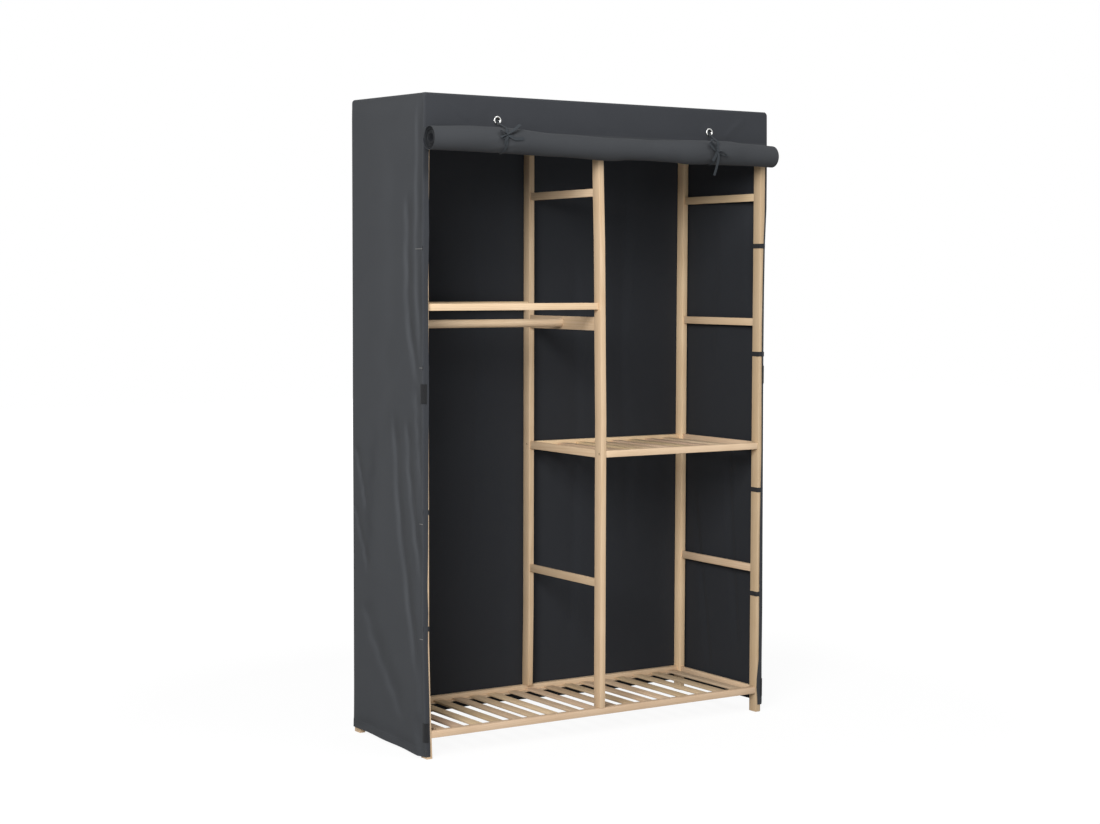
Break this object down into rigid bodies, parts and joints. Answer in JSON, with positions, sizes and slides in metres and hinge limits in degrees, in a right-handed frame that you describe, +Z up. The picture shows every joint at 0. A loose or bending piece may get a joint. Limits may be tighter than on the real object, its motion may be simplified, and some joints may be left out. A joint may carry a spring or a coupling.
{
  "type": "portable fabric wardrobe",
  "caption": "Portable wardrobe: slatted pine frame with a clothes rail and a shelf, under a grey cloth cover whose front curtain is rolled up and tied.",
  "frame": {"origin": "on the floor, below the middle of the whole object's bounding box", "axes": "+X to the right seen from the front, -Y to the front, +Z up"},
  "size_m": [1.1116, 0.4708, 1.7],
  "materials": {
    "pine": "planed, bare softwood",
    "cover_cloth": "matt woven cloth, dark grey",
    "eyelet_steel": "plain polished steel",
    "tie_ribbon": "woven tape, dark grey",
    "elastic_webbing": "matt elastic webbing",
    "hook_and_loop": "matt hook-and-loop tape"
  },
  "bodies": {
    "frame_and_cover": {"left_front_post": "pine", "left_rear_post": "pine", "middle_front_post": "pine", "middle_rear_post": "pine", "right_front_post": "pine", "right_rear_post": "pine", "bottom_front_rail": "pine", "bottom_rear_rail": "pine", "top_front_rail": "pine", "top_rear_rail": "pine", "left_front_crossbar": "pine", "left_rear_crossbar": "pine", "shelf_front_rail": "pine", "shelf_rear_rail": "pine", "left_top_rung": "pine", "left_upper_rung": "pine", "left_shelf_rung": "pine", "left_lower_rung": "pine", "middle_top_rung": "pine", "middle_upper_rung": "pine", "middle_shelf_rung": "pine", "middle_lower_rung": "pine", "right_top_rung": "pine", "right_upper_rung": "pine", "right_shelf_rung": "pine", "right_lower_rung": "pine", "right_middle_rung": "pine", "left_bottom_rung": "pine", "right_bottom_rung": "pine", "left_rod_brace": "pine", "middle_rod_brace": "pine", "hanging_rod": "pine", "bottom_slat_deck": "pine", "shelf_slat_deck": "pine", "top_panel": "cover_cloth", "left_side_panel": "cover_cloth", "right_side_panel": "cover_cloth", "back_panel": "cover_cloth", "front_valance": "cover_cloth", "left_front_strip": "cover_cloth", "right_front_strip": "cover_cloth", "left_eyelet": "eyelet_steel", "right_eyelet": "eyelet_steel", "left_tie": "tie_ribbon", "right_tie": "tie_ribbon", "left_strap_1": "elastic_webbing", "left_strap_2": "elastic_webbing", "left_strap_3": "elastic_webbing", "left_strap_4": "elastic_webbing", "right_strap_1": "elastic_webbing", "right_strap_2": "elastic_webbing", "right_strap_3": "elastic_webbing", "right_strap_4": "elastic_webbing", "left_upper_patch": "hook_and_loop", "left_lower_patch": "hook_and_loop", "right_upper_patch": "hook_and_loop", "right_lower_patch": "hook_and_loop"},
    "curtain": {"curtain_drop": "cover_cloth"},
    "roll": {"curtain_roll": "cover_cloth"}
  },
  "joints": [
    {"name": "curtain_lower", "type": "slide", "parent": "frame_and_cover", "child": "curtain", "axis": [0, 0, -1], "range_m": [0, 1.517], "deforming": ["curtain_drop"]},
    {"name": "roll_turn", "type": "hinge", "parent": "curtain", "child": "roll", "pos_m": [0.0022, -0.19535, 1.581], "axis": [1, 0, 0], "range_deg": [0, 4321]}
  ],
  "couplings": [
    {"joint": "roll_turn", "follows": "curtain_lower", "rad_per_m": 49.702}
  ]
}
